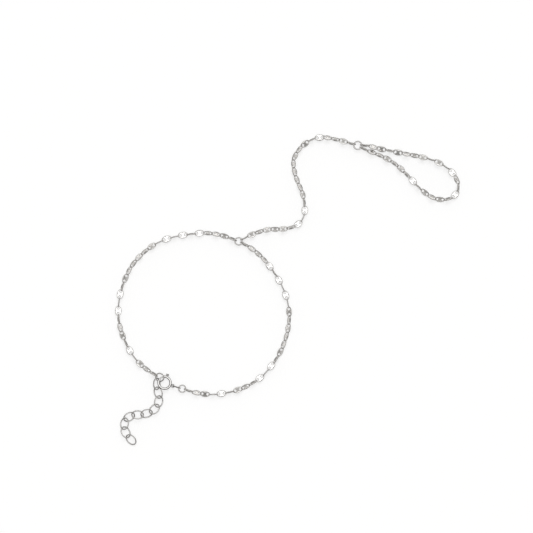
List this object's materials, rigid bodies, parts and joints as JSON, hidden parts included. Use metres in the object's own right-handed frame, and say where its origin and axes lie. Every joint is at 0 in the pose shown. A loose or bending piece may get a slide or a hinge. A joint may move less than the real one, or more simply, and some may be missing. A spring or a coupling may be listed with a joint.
{
  "type": "hand chain",
  "caption": "Silver hand chain: a fine bracelet chain with an extender and a spring ring clasp, joined by a strand over the back of the hand to a finger loop.",
  "frame": {"origin": "centre of the bounding box, at the height of the table that the chain lies on", "axes": "+Z up from the table, +X along the longest extent, towards the finger loop's side, +Y up in the view from above"},
  "size_m": [0.1136, 0.1026, 0.0024],
  "materials": {
    "chain_silver": "polished",
    "ring_silver": "polished",
    "extender_silver": "polished",
    "clasp_silver": "polished",
    "trigger_silver": "polished"
  },
  "bodies": {
    "chain": {"wrist_chain_left": "chain_silver", "wrist_chain_right": "chain_silver", "hand_chain": "chain_silver", "finger_chain": "chain_silver", "wrist_junction_ring": "ring_silver", "finger_junction_ring": "ring_silver", "clasp_jump_ring": "ring_silver", "catch_ring": "ring_silver", "extender_link_01": "extender_silver", "extender_link_02": "extender_silver", "extender_link_03": "extender_silver", "extender_link_04": "extender_silver", "extender_link_05": "extender_silver", "extender_link_06": "extender_silver", "extender_link_07": "extender_silver", "extender_link_08": "extender_silver", "extender_link_09": "extender_silver", "extender_link_10": "extender_silver", "clasp_ring": "clasp_silver", "clasp_link": "ring_silver"},
    "trigger": {"clasp_trigger": "trigger_silver"}
  },
  "joints": [
    {"name": "trigger_draw", "type": "hinge", "parent": "chain", "child": "trigger", "pos_m": [-0.04051, -0.03065, 0.00114], "axis": [-0.1596, -0.1462, -0.9763], "range_deg": [0, 48], "stiffness_Nm_per_rad": 0.0001}
  ]
}
